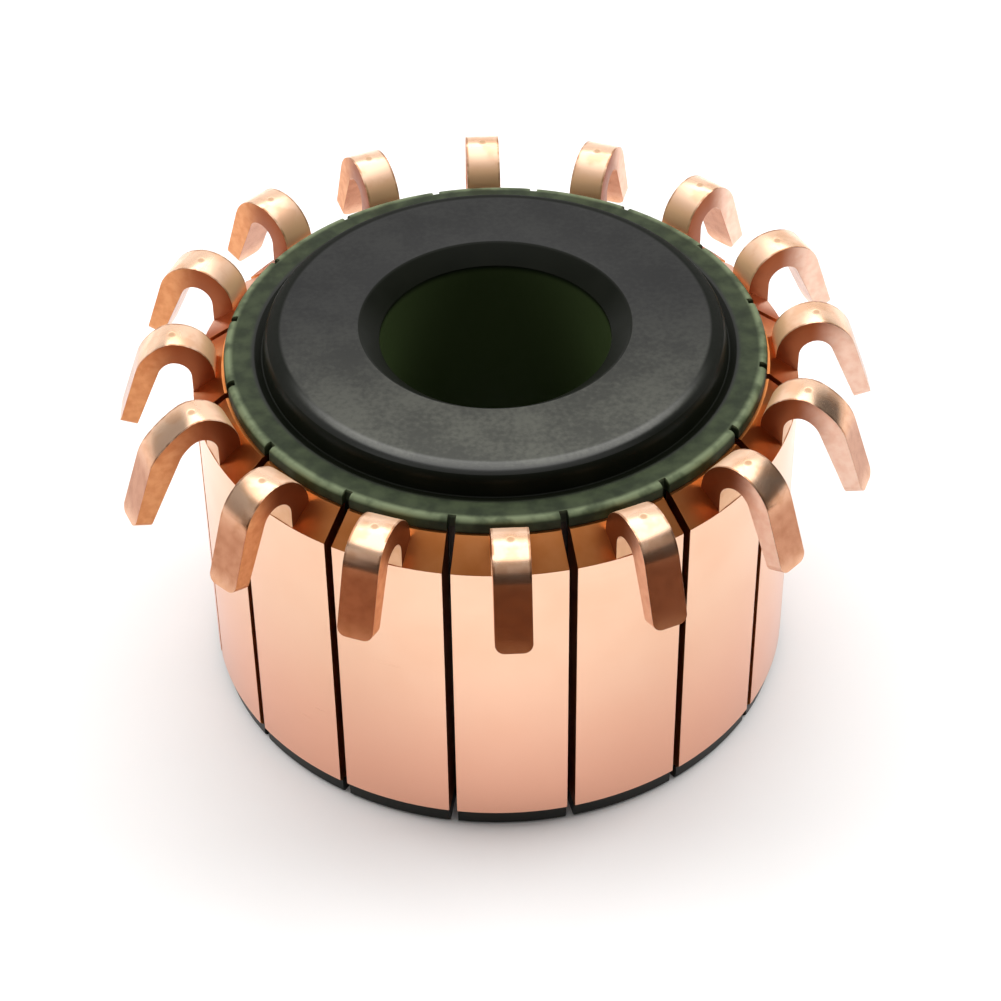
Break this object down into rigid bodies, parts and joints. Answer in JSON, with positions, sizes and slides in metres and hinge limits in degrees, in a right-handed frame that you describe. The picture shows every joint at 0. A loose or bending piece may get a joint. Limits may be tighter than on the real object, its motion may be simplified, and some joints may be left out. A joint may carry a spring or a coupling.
{
  "type": "hook commutator",
  "caption": "Moulded hook commutator for a small motor: copper bars with bent winding hooks, held by a dark resin hub with a through bore.",
  "frame": {"origin": "centre of the bottom face, on the shaft axis", "axes": "+Z along the bore, towards the hook end; the first bar faces -Y"},
  "size_m": [0.0262, 0.0262, 0.0141],
  "materials": {
    "moulded_resin": "dark filled phenolic moulding, satin as moulded, faced dull on the boss",
    "turned_copper": "bare copper, fine turned brush face, brighter bent hooks"
  },
  "bodies": {
    "root": {"moulded_hub": "moulded_resin", "copper_bar_01": "turned_copper", "copper_bar_02": "turned_copper", "copper_bar_03": "turned_copper", "copper_bar_04": "turned_copper", "copper_bar_05": "turned_copper", "copper_bar_06": "turned_copper", "copper_bar_07": "turned_copper", "copper_bar_08": "turned_copper", "copper_bar_09": "turned_copper", "copper_bar_10": "turned_copper", "copper_bar_11": "turned_copper", "copper_bar_12": "turned_copper", "copper_bar_13": "turned_copper", "copper_bar_14": "turned_copper", "copper_bar_15": "turned_copper", "copper_bar_16": "turned_copper"}
  },
  "joints": []
}
